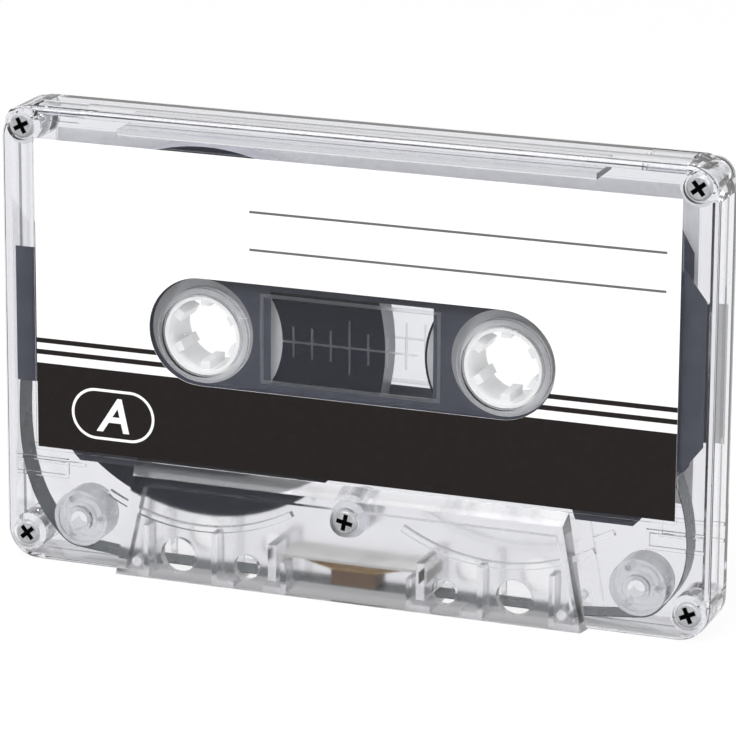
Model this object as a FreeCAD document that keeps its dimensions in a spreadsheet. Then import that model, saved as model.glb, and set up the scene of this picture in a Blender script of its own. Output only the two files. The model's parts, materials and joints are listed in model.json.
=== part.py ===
import FreeCAD, Part
import math
import os
import re
import Sketcher

# Compact audio cassette in a clear shell, side A towards -Y, standing on its open tape edge.
# X runs along the cassette, Y through its thickness, Z up from the tape edge. Sizes are in millimetres.

DOCUMENT = "cassette"
SHEET = "Sizes"
BESIDE_STEPS = 16
GUIDE_HEIGHT = "tape_line + run_thick / 2 + guide_run_gap + guide_radius"

# Driving sizes: name, value, what it is.
SIZES = [
    ("shell_width", 100.4, "length of the shell"),
    ("shell_height", 63.8, "height from the tape edge to the top edge"),
    ("half_thick", 4.35, "thickness of one shell half"),
    ("raised_half", 6.0, "half thickness over the raised head section"),
    ("corner_radius", 4.5, "outer corners of the shell"),
    ("edge_round", 0.8, "rounding of the outer face's rim"),
    ("parting_gap", 0.02, "fine gap along the line where the halves meet"),
    ("face_wall", 1.25, "wall of the two faces"),
    ("side_wall", 1.2, "wall of the two ends"),
    ("top_wall", 1.3, "wall along the top edge"),
    ("base_wall", 0.75, "wall along the tape edge"),
    ("raised_top", 15.9, "height where the raised section's ramp starts"),
    ("raised_ramp", 1.6, "height of that ramp"),
    ("raised_top_half", 30.9, "half width of the raised section at its top"),
    ("raised_base_half", 33.6, "half width of the raised section at the tape edge"),
    ("raised_draft", 0.35, "draft of the raised section's slanted ends"),
    ("head_room_height", 12.6, "top of the hollow inside the raised section"),
    ("reel_offset", 21.25, "hub axis from the middle"),
    ("reel_height", 34.3, "hub axis above the tape edge"),
    ("window_height", 34.92, "middle of the label's cut-out and the window above the tape edge"),
    ("shell_hub_radius", 5.7, "hub hole in the shell"),
    ("hub_rim_wall", 0.8, "ring round the hub hole, inside"),
    ("hub_rim_depth", 0.4, "how far that ring stands in"),
    ("capstan_offset", 24.0, "capstan hole from the middle"),
    ("capstan_height", 3.7, "capstan hole above the tape edge"),
    ("capstan_radius", 2.5, "capstan hole"),
    ("locating_offset", 14.1, "locating hole from the middle"),
    ("locating_height", 3.2, "locating hole above the tape edge"),
    ("locating_radius", 1.8, "locating hole"),
    ("head_gap_half", 8.6, "half width of the head opening"),
    ("locating_gap_half", 2.1, "half width of a locating opening"),
    ("capstan_gap_half", 4.6, "half width of a pinch roller opening"),
    ("divider_wall", 0.8, "ribs beside the edge openings"),
    ("divider_height", 7.2, "top of those ribs"),
    ("divider_shield_gap", 0.3, "room between the ribs at the head opening and the shield"),
    ("divider_gap", 2.2, "ribs beside the tape stop this far from the split"),
    ("pillar_inner", 10.0, "inner face of the shield's pillars"),
    ("pillar_wall", 1.2, "thickness of a pillar"),
    ("pillar_base", 1.5, "foot of a pillar, above the tape"),
    ("pillar_top", 6.6, "top of a pillar"),
    ("screw_offset", 47.27, "corner screws from the middle"),
    ("screw_low", 3.66, "lower screws above the tape edge"),
    ("screw_high", 60.94, "upper screws above the tape edge"),
    ("screw_middle", 11.24, "middle screw above the tape edge"),
    ("boss_radius", 2.6, "screw bosses inside the shell"),
    ("screw_head_radius", 1.75, "screw head"),
    ("screw_head_thick", 0.9, "thickness of the head"),
    ("screw_head_bevel", 0.35, "bevel round the head"),
    ("screw_shank_radius", 0.8, "screw thread, outside"),
    ("screw_length", 7.0, "screw under its head"),
    ("screw_recess_radius", 2.0, "counterbore round a screw head"),
    ("screw_recess_depth", 1.05, "depth of that counterbore"),
    ("screw_clearance", 0.15, "clearance hole round the shank"),
    ("pilot_gap", 0.05, "room round the thread in its pilot hole"),
    ("cross_length", 2.3, "screwdriver cross, tip to tip"),
    ("cross_width", 0.62, "width of its slots"),
    ("cross_depth", 0.6, "depth of its slots"),
    ("top_left_turn", 28.0, "turn of the upper left screw, degrees"),
    ("top_right_turn", 38.0, "turn of the upper right screw, degrees"),
    ("bottom_left_turn", 40.0, "turn of the lower left screw, degrees"),
    ("bottom_right_turn", 24.0, "turn of the lower right screw, degrees"),
    ("middle_turn", -12.0, "turn of the middle screw, degrees"),
    ("label_half_width", 45.3, "half width of the paper label"),
    ("label_base", 16.35, "lower edge of the label"),
    ("label_top", 59.37, "upper edge of the label"),
    ("label_thick", 0.1, "thickness of the label"),
    ("label_recess", 0.15, "depth of the label's bed"),
    ("label_glue", 0.02, "layer under the label"),
    ("label_margin", 0.25, "room round the label in its bed"),
    ("label_cut_radius", 7.45, "stadium cut-out round the hubs"),
    ("liner_half_width", 48.6, "half width of the slip sheet's wings"),
    ("liner_thick", 0.12, "thickness of the slip sheet"),
    ("liner_gap", 0.03, "air between the slip sheet and the shell"),
    ("liner_wing_low", 26.5, "lower end of the right wing"),
    ("liner_wing_high", 46.0, "upper end of the right wing"),
    ("liner_tab_low", 25.3, "lower end of the left wing, which has square ends"),
    ("liner_tab_high", 44.1, "upper end of the left wing"),
    ("liner_shoulder", 3.6, "how far the sheet steps in at its wings' ends"),
    ("liner_shoulder_rise", 4.6, "height of those slanted steps"),
    ("liner_top_half", 41.0, "half width along the top"),
    ("liner_top", 57.6, "upper edge of the slip sheet"),
    ("liner_lobe_low", 14.8, "lower edge of the two lobes"),
    ("liner_lobe_outer", 40.3, "outer side of a lobe"),
    ("liner_lobe_inner", 30.6, "inner side of a lobe"),
    ("liner_lobe_slant", 0.9, "slant of a lobe's corners"),
    ("liner_base", 17.2, "lower edge between the lobes"),
    ("liner_hub_radius", 7.25, "hub hole in the slip sheet"),
    ("window_half_width", 11.5, "half width of the slip sheet's window"),
    ("window_half_height", 6.4, "half height of that window"),
    ("frame_half_width", 12.75, "window frame line on the shell"),
    ("frame_half_height", 6.2, "window frame line, half height"),
    ("line_width", 0.5, "width of the moulded frame line"),
    ("line_depth", 0.12, "depth of moulded lines"),
    ("tick_pitch", 2.65, "spacing of the tape scale"),
    ("tick_width", 0.25, "width of a scale mark"),
    ("tick_half_height", 2.1, "half height of a scale mark"),
    ("tick_tall_half_height", 3.7, "half height of the middle mark"),
    ("scale_half_width", 9.6, "half width of the scale's line"),
    ("tape_half_width", 1.905, "half width of the tape"),
    ("hub_radius", 11.0, "winding surface of a hub"),
    ("winding_gap", 0.03, "air between a hub and the tape wound on it"),
    ("hub_half_height", 1.95, "half height of the hub's disc"),
    ("hub_collar_radius", 5.4, "collar that turns in the shell's hub hole"),
    ("hub_collar_half", 3.75, "half height of the collar"),
    ("hub_bore_radius", 4.95, "bore of the hub"),
    ("hub_rim_width", 2.3, "outer rim of the hub"),
    ("hub_web_half", 1.0, "half thickness of the web between rim and collar"),
    ("hub_collar_root", 6.4, "thicker root of the collar inside"),
    ("tooth_tip_radius", 3.85, "tips of the six drive teeth"),
    ("tooth_width", 1.3, "width of a tooth"),
    ("tooth_half_height", 2.6, "half height of a tooth"),
    ("tooth_count", 6, "number of teeth"),
    ("clamp_angle", 15.0, "half angle of the tape clamp, degrees"),
    ("clamp_depth", 1.6, "depth of the clamp's notch"),
    ("clamp_gap", 0.05, "room round the clamp in its notch"),
    ("clamp_play", 0.3, "room beside the clamp, degrees"),
    ("pack_radius", 25.6, "full tape pack on the left hub"),
    ("leader_radius", 11.35, "few turns on the right hub"),
    ("roller_offset", 39.9, "guide rollers from the middle"),
    ("roller_height", 6.1, "roller axis above the tape edge"),
    ("roller_radius", 3.9, "outside of a roller"),
    ("roller_half_height", 2.1, "half height of a roller"),
    ("roller_bore_radius", 1.28, "bore of a roller"),
    ("roller_hub_radius", 2.3, "raised hub on a roller's face"),
    ("roller_rim_width", 0.55, "rim of a roller"),
    ("roller_face_depth", 0.35, "groove between a roller's hub and rim"),
    ("roller_hole_radius", 0.5, "lightening holes of a roller"),
    ("roller_hole_reach", 2.82, "those holes from its axis"),
    ("roller_hole_count", 3, "number of those holes"),
    ("roller_run_gap", 0.15, "room between a roller and the tape run"),
    ("post_clearance", 0.08, "running clearance of a roller on its post"),
    ("post_shoulder_radius", 1.9, "shoulder under a roller"),
    ("roller_end_gap", 0.12, "end play between a roller and its shoulder"),
    ("guide_offset", 30.4, "fixed guide posts from the middle"),
    ("guide_radius", 0.7, "radius of a guide post"),
    ("guide_run_gap", 0.1, "room between a guide post and the tape run"),
    ("tape_line", 1.06, "middle of the tape above the tape edge"),
    ("run_thick", 0.12, "thickness of the tape run"),
    ("run_gap", 0.3, "room between the run and the turning packs"),
    ("left_leave_angle", 172.0, "where the run leaves the full pack, degrees"),
    ("right_leave_angle", 36.0, "where the run meets the empty hub, degrees"),
    ("left_meet_angle", 228.0, "where the run meets the left roller, degrees"),
    ("right_meet_angle", 318.0, "where the run leaves the right roller, degrees"),
    ("left_bow_reach", 48.7, "slack beside the full pack, furthest out"),
    ("left_bow_height", 24.0, "height of that point"),
    ("left_slack_reach", 48.1, "slack below it"),
    ("left_slack_height", 12.8, "height of that point"),
    ("left_lead_reach", 45.6, "slack beside the left roller"),
    ("left_lead_height", 6.6, "height of that point"),
    ("right_lead_reach", 45.9, "slack beside the right roller"),
    ("right_lead_height", 8.4, "height of that point"),
    ("right_slack_reach", 46.2, "slack above it"),
    ("right_slack_height", 14.8, "height of that point"),
    ("right_bow_reach", 44.6, "where the slack turns towards the hub"),
    ("right_bow_height", 20.8, "height of that point"),
    ("right_return_reach", 40.6, "slack on its way to the hub"),
    ("right_return_height", 27.8, "height of that point"),
    ("pad_half_width", 3.1, "half width of the felt pad"),
    ("pad_half_depth", 2.1, "half depth of the felt pad"),
    ("pad_gap", 0.1, "room between the felt pad and the tape"),
    ("pad_top", 3.3, "top of the felt pad"),
    ("spring_thick", 0.16, "leaf spring"),
    ("spring_half_depth", 2.0, "half depth of the leaf spring"),
    ("spring_foot", 8.0, "where the spring's feet start"),
    ("spring_foot_length", 1.5, "length of a foot"),
    ("shield_low", 4.6, "underside of the shield plate"),
    ("shield_thick", 0.4, "shield plate"),
    ("shield_half_depth", 3.0, "half depth of the shield plate"),
    ("shield_leg", 1.3, "how far the shield's ends are turned down"),
    ("arc_rib_gap", 0.7, "room between the full pack and the curved ribs"),
    ("rib_wall", 0.8, "curved and top ribs"),
    ("arc_rib_start", 240.0, "curved rib, start angle, degrees"),
    ("arc_rib_end", 300.0, "curved rib, end angle, degrees"),
    ("arc_rib_rise", 0.9, "height of the curved ribs"),
    ("top_rib_low", 60.7, "underside of the rib under the top edge"),
    ("top_rib_half", 33.5, "half length of that rib"),
    ("tab_offset", 42.0, "middle of the record tab from the middle"),
    ("tab_half_width", 3.1, "half width of the record tab"),
    ("tab_slot", 0.55, "slot round the tab"),
    ("tab_near", 0.7, "tab's inner side from the split"),
    ("tab_far", 3.0, "tab's outer side from the split"),
    ("loop_inner", 41.2, "short loop rib beside the rollers, inner end"),
    ("loop_low", 11.9, "loop rib, lower side"),
    ("loop_high", 14.6, "loop rib, upper side"),
    ("loop_wall", 0.45, "loop rib, thickness"),
    ("loop_rise", 0.5, "loop rib, height"),
]

NAME_PATTERN = re.compile("[a-z]+(?:_[a-z]+)+")
doc = FreeCAD.newDocument(DOCUMENT)


def fill_sheet():
    """Write the driving sizes into the spreadsheet, one row each."""
    sheet = doc.addObject("Spreadsheet::Sheet", SHEET)
    for row, (name, value, meaning) in enumerate(SIZES, start=1):
        sheet.set("A%d" % row, name)
        sheet.set("B%d" % row, repr(value))
        sheet.set("C%d" % row, meaning)
        sheet.setAlias("B%d" % row, name)
    doc.recompute()
    return sheet


sheet = fill_sheet()


def bound(text):
    """Turn a formula in size names into one that reads the spreadsheet."""
    return NAME_PATTERN.sub(lambda found: "%s.%s" % (SHEET, found.group(0)), str(text))


def value(text):
    """Number that a formula in size names gives now."""
    return float(sheet.evalExpression(bound(text)))


def bind(target, path, text):
    """Tie one property of an object to a formula."""
    target.setExpression(path, bound(text))


def new_body(name):
    """Body for one sub-part."""
    body = doc.addObject("PartDesign::Body", name)
    body.Label = name
    return body


def new_half_body(name, turned):
    """Body for a piece of one shell half, set off from the parting line; a turned one faces +Y."""
    body = new_body(name)
    if turned:
        body.Placement = FreeCAD.Placement(FreeCAD.Vector(), FreeCAD.Rotation(FreeCAD.Vector(0, 0, 1), 180))
    bind(body, "Placement.Base.y", "parting_gap / 2" if turned else "-parting_gap / 2")
    return body


def new_sketch(body, name, depth="0", plane="XZ_Plane", centre=("0", "0")):
    """Sketch on one of the body's own planes, moved along its normal (towards -Y for XZ) and to a centre."""
    sketch = body.newObject("Sketcher::SketchObject", name)
    origin = next(item for item in body.Origin.OriginFeatures if item.Role == plane)
    sketch.AttachmentSupport = (origin, "")
    sketch.MapMode = "FlatFace"
    for path, text in (("x", centre[0]), ("y", centre[1]), ("z", depth)):
        bind(sketch, "AttachmentOffset.Base." + path, text)
    return sketch


def pin_point(sketch, edge, end, across, up):
    """Hold one sketch point at two formulas from the origin."""
    for kind, text in (("DistanceX", across), ("DistanceY", up)):
        index = sketch.addConstraint(Sketcher.Constraint(kind, -1, 1, edge, end, value(text)))
        bind(sketch, "Constraints[%d]" % index, text)


def pin_radius(sketch, edge, text):
    """Hold the radius of a circle or arc at a formula."""
    index = sketch.addConstraint(Sketcher.Constraint("Radius", edge, value(text)))
    bind(sketch, "Constraints[%d]" % index, text)


def add_outline(sketch, corners):
    """Closed outline of straight edges through corners given as pairs of formulas."""
    first = sketch.GeometryCount
    points = [FreeCAD.Vector(value(across), value(up), 0) for across, up in corners]
    count = len(points)
    for index, start in enumerate(points):
        sketch.addGeometry(Part.LineSegment(start, points[(index + 1) % count]))
    for index in range(count):
        follower = first + (index + 1) % count
        sketch.addConstraint(Sketcher.Constraint("Coincident", first + index, 2, follower, 1))
    for index, (across, up) in enumerate(corners):
        pin_point(sketch, first + index, 1, across, up)


def add_box(sketch, left, right, low, high):
    """Rectangle between four formulas."""
    add_outline(sketch, [(left, low), (right, low), (right, high), (left, high)])


def add_circle(sketch, across, up, radius):
    """Circle at a point given by two formulas."""
    centre = FreeCAD.Vector(value(across), value(up), 0)
    edge = sketch.addGeometry(Part.Circle(centre, FreeCAD.Vector(0, 0, 1), value(radius)))
    pin_point(sketch, edge, 3, across, up)
    pin_radius(sketch, edge, radius)


def add_arc(sketch, across, up, radius, start, end):
    """Arc about a point, from one angle to another in degrees; its index is returned."""
    centre = FreeCAD.Vector(value(across), value(up), 0)
    circle = Part.Circle(centre, FreeCAD.Vector(0, 0, 1), value(radius))
    edge = sketch.addGeometry(Part.ArcOfCircle(circle, math.radians(value(start)), math.radians(value(end))))
    pin_point(sketch, edge, 3, across, up)
    pin_radius(sketch, edge, radius)
    return edge


def pin_arc_end(sketch, edge, end, across, radius, angle):
    """Hold one end of an arc on its ray from the arc's centre."""
    text = "%s + (%s) * cos((%s) * 1deg)" % (across, radius, angle)
    index = sketch.addConstraint(Sketcher.Constraint("DistanceX", -1, 1, edge, end, value(text)))
    bind(sketch, "Constraints[%d]" % index, text)


def join(sketch, edge, end, other, start):
    """Make two sketch ends meet."""
    sketch.addConstraint(Sketcher.Constraint("Coincident", edge, end, other, start))


def add_line(sketch, edge, end, other, start):
    """Straight edge from the end of one edge to the start of another."""
    line = sketch.addGeometry(Part.LineSegment(sketch.getPoint(edge, end), sketch.getPoint(other, start)))
    join(sketch, edge, end, line, 1)
    join(sketch, line, 2, other, start)
    return line


def add_sector(sketch, across, up, inner, outer, start, end):
    """Piece of a ring between two radii and two angles."""
    far = add_arc(sketch, across, up, outer, start, end)
    near = add_arc(sketch, across, up, inner, start, end)
    for edge, radius in ((far, outer), (near, inner)):
        pin_arc_end(sketch, edge, 1, across, radius, start)
        pin_arc_end(sketch, edge, 2, across, radius, end)
    add_line(sketch, far, 2, near, 2)
    add_line(sketch, near, 1, far, 1)


def add_stadium(sketch, offset, up, radius):
    """Slot with round ends about two points at equal distances from the middle."""
    right = add_arc(sketch, offset, up, radius, "-90", "90")
    left = add_arc(sketch, "-" + offset, up, radius, "90", "270")
    for edge, middle, start in ((right, offset, -90), (left, "-" + offset, 90)):
        pin_arc_end(sketch, edge, 1, middle, radius, start)
        pin_arc_end(sketch, edge, 2, middle, radius, start + 180)
    add_line(sketch, right, 2, left, 1)
    add_line(sketch, left, 2, right, 1)


def add_pad(body, sketch, length, inward=False):
    """Raise a sketch; inward goes towards the split between the halves."""
    pad = body.newObject("PartDesign::Pad", sketch.Name + "_pad")
    pad.Profile = sketch
    pad.Reversed = inward
    bind(pad, "Length", length)
    sketch.Visibility = False
    doc.recompute()
    return pad


def add_pocket(body, sketch, length, outward=True):
    """Sink a sketch and make sure that it removes something."""
    before = body.Shape.Volume
    pocket = body.newObject("PartDesign::Pocket", sketch.Name + "_pocket")
    pocket.Profile = sketch
    pocket.Reversed = outward
    bind(pocket, "Length", length)
    doc.recompute()
    if body.Shape.Volume >= before:
        raise RuntimeError("pocket %s cuts nothing" % pocket.Name)
    return pocket


def round_edges(body, feature, radius, chosen):
    """Round the edges of a feature that a test picks."""
    names = ["Edge%d" % index for index, edge in enumerate(feature.Shape.Edges, start=1) if chosen(edge)]
    fillet = body.newObject("PartDesign::Fillet", feature.Name + "_round")
    fillet.Base = (feature, names)
    bind(fillet, "Radius", radius)
    doc.recompute()
    return fillet


def shell_blank(body):
    """Plate with round corners and a rounded outer rim."""
    sketch = new_sketch(body, "plate")
    half = "shell_width / 2"
    add_box(sketch, "-" + half, half, "0", "shell_height")
    plate = add_pad(body, sketch, "half_thick")
    corners = round_edges(body, plate, "corner_radius", is_depth_edge)
    outer = -value("half_thick")
    round_edges(body, corners, "edge_round", lambda edge: abs(edge.BoundBox.YMax - outer) < 1e-4)


def is_depth_edge(edge):
    """Whether a straight edge runs through the thickness."""
    box = edge.BoundBox
    return box.XLength < 1e-6 and box.ZLength < 1e-6


def raised_outline(sketch, inset, drop):
    """Outline of the raised head section, inset at its ends and lowered at its top."""
    base = "raised_base_half - %s" % inset
    top = "raised_top_half - %s" % inset
    height = "raised_top - %s" % drop
    add_outline(sketch, [("-(%s)" % base, "0"), (base, "0"), (top, height), ("-(%s)" % top, height)])


def shell_raised(body):
    """Raised section over the head chamber, with its ramp."""
    root = new_sketch(body, "raised_root", "half_thick - edge_round")
    raised_outline(root, "0", "0")
    add_pad(body, root, "edge_round")
    foot = new_sketch(body, "raised_foot", "half_thick")
    raised_outline(foot, "0", "0")
    crown = new_sketch(body, "raised_crown", "raised_half")
    raised_outline(crown, "raised_draft", "raised_ramp")
    loft = body.newObject("PartDesign::AdditiveLoft", "raised_loft")
    loft.Profile = foot
    loft.Sections = [crown]
    loft.Ruled = True
    doc.recompute()


def shell_hollow(body):
    """Room for the reels and the deeper room for the heads."""
    depth = "half_thick - face_wall"
    cavity = new_sketch(body, "cavity")
    side = "shell_width / 2 - side_wall"
    add_box(cavity, "-(%s)" % side, side, "base_wall", "shell_height - top_wall")
    add_pocket(body, cavity, depth)
    room = new_sketch(body, "head_room", depth)
    base = "raised_base_half - side_wall - raised_draft"
    top = "raised_top_half - side_wall - raised_draft"
    add_outline(room, [
        ("-(%s)" % base, "base_wall"), (base, "base_wall"),
        (top, "head_room_height"), ("-(%s)" % top, "head_room_height"),
    ])
    add_pocket(body, room, "raised_half - half_thick")


def edge_openings():
    """Left and right ends of the five openings along the tape edge."""
    spans = [("-head_gap_half", "head_gap_half")]
    for middle, half in (("locating_offset", "locating_gap_half"), ("capstan_offset", "capstan_gap_half")):
        spans.append(("%s - %s" % (middle, half), "%s + %s" % (middle, half)))
        spans.append(("-%s - %s" % (middle, half), "-%s + %s" % (middle, half)))
    return spans


def shell_edge_openings(body):
    """Openings in the tape edge for the heads, the pins and the pinch rollers."""
    sketch = new_sketch(body, "edge_openings")
    for left, right in edge_openings():
        add_box(sketch, left, right, "-base_wall", "base_wall * 2")
    add_pocket(body, sketch, "raised_half - face_wall")


def shell_ribs(body):
    """Dividers, pillars, curved ribs and the long rib under the top edge."""
    deep = "raised_half - face_wall"
    dividers = new_sketch(body, "dividers", deep)
    ribs = [("head_gap_half", "shield_low - divider_shield_gap"),
            ("capstan_offset - capstan_gap_half - divider_wall", "divider_height"),
            ("capstan_offset + capstan_gap_half", "divider_height")]
    for side, top in ribs:
        add_box(dividers, side, "%s + divider_wall" % side, "base_wall / 2", top)
        add_box(dividers, "-(%s) - divider_wall" % side, "-(%s)" % side, "base_wall / 2", top)
    add_pad(body, dividers, "%s - divider_gap" % deep, inward=True)
    pillars = new_sketch(body, "pillars", deep)
    outer = "pillar_inner + pillar_wall"
    add_box(pillars, "pillar_inner", outer, "pillar_base", "pillar_top")
    add_box(pillars, "-(%s)" % outer, "-pillar_inner", "pillar_base", "pillar_top")
    add_pad(body, pillars, deep, inward=True)
    shallow = "half_thick - face_wall"
    curved = new_sketch(body, "curved_ribs", deep + " + face_wall / 4")
    inner = "pack_radius + arc_rib_gap"
    add_sector(curved, "-reel_offset", "reel_height", inner, inner + " + rib_wall",
               "arc_rib_start", "arc_rib_end")
    add_sector(curved, "reel_offset", "reel_height", inner, inner + " + rib_wall",
               "540 - arc_rib_end", "540 - arc_rib_start")
    add_pad(body, curved, "face_wall / 4 + arc_rib_rise", inward=True)
    top = new_sketch(body, "top_rib", shallow + " + face_wall / 2")
    add_box(top, "-top_rib_half", "top_rib_half", "top_rib_low", "top_rib_low + rib_wall")
    add_pad(body, top, shallow + " + face_wall / 2", inward=True)


def screw_points():
    """The five screws: name, across, up, the height of the face over the split, and the cross's turn."""
    return [
        ("screw_top_left", "-screw_offset", "screw_high", "half_thick", "top_left_turn"),
        ("screw_top_right", "screw_offset", "screw_high", "half_thick", "top_right_turn"),
        ("screw_bottom_left", "-screw_offset", "screw_low", "half_thick", "bottom_left_turn"),
        ("screw_bottom_right", "screw_offset", "screw_low", "half_thick", "bottom_right_turn"),
        ("screw_middle", "0", "screw_middle", "raised_half", "middle_turn"),
    ]


def shell_bosses(body):
    """Screw bosses, roller posts with their shoulders, and rings round the hub holes."""
    shallow = "half_thick - face_wall"
    root = shallow + " + face_wall / 2"
    bosses = new_sketch(body, "screw_bosses", root)
    for _, across, up, *_ in screw_points():
        add_circle(bosses, across, up, "boss_radius")
    add_pad(body, bosses, root, inward=True)
    posts = new_sketch(body, "roller_posts", root)
    shoulders = new_sketch(body, "roller_shoulders", root)
    loops = new_sketch(body, "loop_ribs", shallow + " + face_wall / 4")
    for sign in ("-", ""):
        add_circle(posts, sign + "roller_offset", "roller_height", "roller_bore_radius - post_clearance")
        add_circle(shoulders, sign + "roller_offset", "roller_height", "post_shoulder_radius")
    add_loop_rib(loops, "")
    add_loop_rib(loops, "-")
    guides = new_sketch(body, "guide_posts", "raised_half - face_wall / 2")
    for sign in ("-", ""):
        add_circle(guides, sign + "guide_offset", GUIDE_HEIGHT, "guide_radius")
    add_pad(body, guides, "raised_half - face_wall / 2", inward=True)
    add_pad(body, posts, root, inward=True)
    add_pad(body, shoulders, "%s - roller_half_height - roller_end_gap" % root, inward=True)
    add_pad(body, loops, "face_wall / 4 + loop_rise", inward=True)
    rings = new_sketch(body, "hub_rings", shallow + " + face_wall / 4")
    for sign in ("-", ""):
        add_circle(rings, sign + "reel_offset", "reel_height", "shell_hub_radius + hub_rim_wall")
    add_pad(body, rings, "face_wall / 4 + hub_rim_depth", inward=True)


def add_loop_rib(sketch, sign):
    """Flat U that opens towards the end of the shell."""
    near = "%s(loop_inner)" % sign
    inner = "%s(loop_inner + loop_wall)" % sign
    end = "%s(shell_width / 2 - side_wall / 2)" % sign
    add_outline(sketch, [
        (near, "loop_low"), (end, "loop_low"), (end, "loop_low + loop_wall"), (inner, "loop_low + loop_wall"),
        (inner, "loop_high - loop_wall"), (end, "loop_high - loop_wall"), (end, "loop_high"), (near, "loop_high"),
    ])


def shell_holes(body, heads):
    """Hub, capstan and locating holes, and the screw holes: through with a counterbore, or blind."""
    through = new_sketch(body, "round_holes")
    for sign in ("-", ""):
        add_circle(through, sign + "reel_offset", "reel_height", "shell_hub_radius")
        add_circle(through, sign + "capstan_offset", "capstan_height", "capstan_radius")
        add_circle(through, sign + "locating_offset", "locating_height", "locating_radius")
    add_pocket(body, through, "raised_half + face_wall")
    if not heads:
        pilots = new_sketch(body, "pilot_holes")
        for _, across, up, *_ in screw_points():
            add_circle(pilots, across, up, "screw_shank_radius + pilot_gap")
        add_pocket(body, pilots, "half_thick - face_wall / 2")
        return
    shanks = new_sketch(body, "shank_holes")
    for _, across, up, *_ in screw_points():
        add_circle(shanks, across, up, "screw_shank_radius + screw_clearance")
    add_pocket(body, shanks, "raised_half + face_wall")
    for name, across, up, face, _ in screw_points():
        recess = new_sketch(body, name + "_recess", face)
        add_circle(recess, across, up, "screw_recess_radius")
        add_pocket(body, recess, "screw_recess_depth", outward=False)


def shell_label_bed(body):
    """Shallow bed for the label on the outer face."""
    sketch = new_sketch(body, "label_bed", "half_thick")
    side = "label_half_width + label_margin"
    add_box(sketch, "-(%s)" % side, side, "raised_top", "label_top + label_margin")
    add_pocket(body, sketch, "label_recess", outward=False)


def shell_window_marks(body):
    """Window frame line and tape scale, sunk into the label's bed."""
    frame = new_sketch(body, "window_frame", "half_thick")
    for half in ("frame_half_width", "frame_half_width - line_width"):
        height = half.replace("width", "height", 1)
        add_box(frame, "-(%s)" % half, half, "window_height - (%s)" % height, "window_height + %s" % height)
    add_pocket(body, frame, "label_recess + line_depth", outward=False)
    scale = new_sketch(body, "tape_scale", "half_thick")
    count = 3
    for step in range(-count, count + 1):
        middle = "tick_pitch * %d" % step
        half = "tick_half_height" if step else "tick_tall_half_height"
        add_box(scale, "%s - tick_width / 2" % middle, "%s + tick_width / 2" % middle,
                "window_height - " + half, "window_height + " + half)
    add_pocket(body, scale, "label_recess + line_depth", outward=False)
    line = new_sketch(body, "scale_line", "half_thick")
    add_box(line, "-scale_half_width", "scale_half_width",
            "window_height - tick_width / 2", "window_height + tick_width / 2")
    add_pocket(body, line, "label_recess + line_depth", outward=False)


def shell_record_tab(body):
    """Slot on three sides of the breakable record tab, in the top edge of the half's own left end."""
    sketch = new_sketch(body, "tab_slot", "shell_height", "XY_Plane")
    left = "-tab_offset - tab_half_width"
    right = "-tab_offset + tab_half_width"
    near = "-tab_near"
    far = "-tab_far"
    add_outline(sketch, [
        (right, near + " + tab_slot"), (left + " - tab_slot", near + " + tab_slot"),
        (left + " - tab_slot", far + " - tab_slot"), (right, far + " - tab_slot"),
        (right, far), (left, far), (left, near), (right, near),
    ])
    add_pocket(body, sketch, "top_wall * 1.5", outward=False)


def build_shell(name, heads, turned):
    """One moulded half of the shell; the half that takes the screw heads faces -Y."""
    body = new_half_body(name, turned)
    shell_blank(body)
    shell_raised(body)
    shell_hollow(body)
    shell_ribs(body)
    shell_bosses(body)
    shell_edge_openings(body)
    shell_holes(body, heads)
    shell_label_bed(body)
    shell_window_marks(body)
    shell_record_tab(body)


def build_label(name, turned):
    """Paper label with the stadium cut-out round the hubs."""
    body = new_half_body(name, turned)
    sketch = new_sketch(body, name + "_outline", "half_thick - label_recess + label_glue")
    add_box(sketch, "-label_half_width", "label_half_width", "label_base", "label_top")
    add_stadium(sketch, "reel_offset", "window_height", "label_cut_radius")
    add_pad(body, sketch, "label_thick")


def liner_side(sign, wing):
    """Corners of the slip sheet's outline on one side, from the middle of the lower edge upwards."""
    neck = "liner_half_width - liner_shoulder"
    corners = [
        ("liner_lobe_inner", "liner_base"),
        ("liner_lobe_inner + liner_lobe_slant", "liner_lobe_low"),
        ("liner_lobe_outer - liner_lobe_slant", "liner_lobe_low"),
        ("liner_lobe_outer", "liner_lobe_low + liner_lobe_slant"),
        (neck, "liner_wing_low - liner_shoulder_rise"),
    ] + wing + [
        (neck, "liner_wing_high + liner_shoulder_rise"),
        ("liner_top_half", "liner_top"),
    ]
    return [("%s(%s)" % (sign, across), up) for across, up in corners]


def liner_outline():
    """Outline of the slip sheet, with a slanted wing on the right and a square one on the left."""
    end = "liner_half_width"
    neck = "liner_half_width - liner_shoulder"
    slanted = [(end, "liner_wing_low"), (end, "liner_wing_high")]
    square = [(neck, "liner_tab_low"), (end, "liner_tab_low"), (end, "liner_tab_high"), (neck, "liner_tab_high")]
    return liner_side("", slanted) + liner_side("-", square)[::-1]


def build_liner(name, turned):
    """Dark slip sheet between the shell and the reels, with its window and hub holes."""
    body = new_half_body(name, turned)
    sketch = new_sketch(body, name + "_outline", "half_thick - face_wall - liner_gap - liner_thick")
    add_outline(sketch, liner_outline())
    add_box(sketch, "-window_half_width", "window_half_width",
            "window_height - window_half_height", "window_height + window_half_height")
    for sign in ("-", ""):
        add_circle(sketch, sign + "reel_offset", "window_height", "liner_hub_radius")
    add_pad(body, sketch, "liner_thick")


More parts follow.
